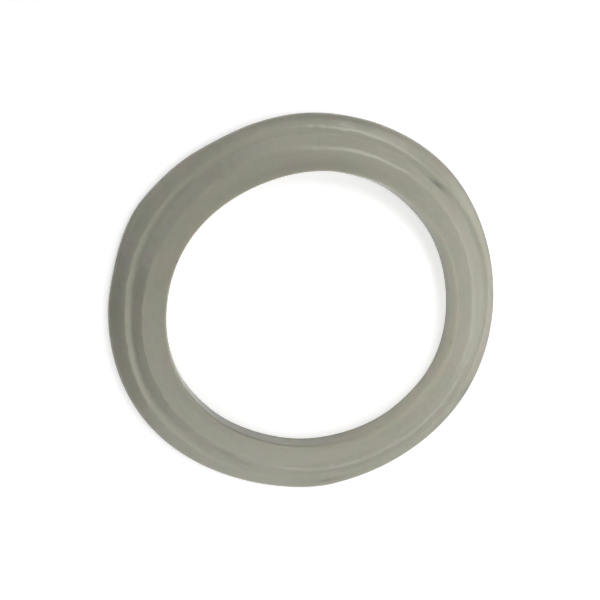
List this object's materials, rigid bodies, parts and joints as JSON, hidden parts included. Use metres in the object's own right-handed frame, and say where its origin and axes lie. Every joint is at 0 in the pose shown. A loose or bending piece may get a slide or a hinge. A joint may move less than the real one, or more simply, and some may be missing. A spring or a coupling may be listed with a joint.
{
  "type": "l-shaped gasket",
  "caption": "Soft translucent seal ring with a flat face, a sloping rounded rim and a low stepped collar around the bore, for a tube union.",
  "frame": {"origin": "centre of the bore on the flat face that the ring lies on", "axes": "+Z along the bore axis, from the flat face to the collar"},
  "size_m": [0.0405, 0.0404, 0.0023],
  "materials": {
    "silicone": "milky translucent, satin"
  },
  "bodies": {
    "root": {"l_gasket": "silicone"}
  },
  "joints": []
}
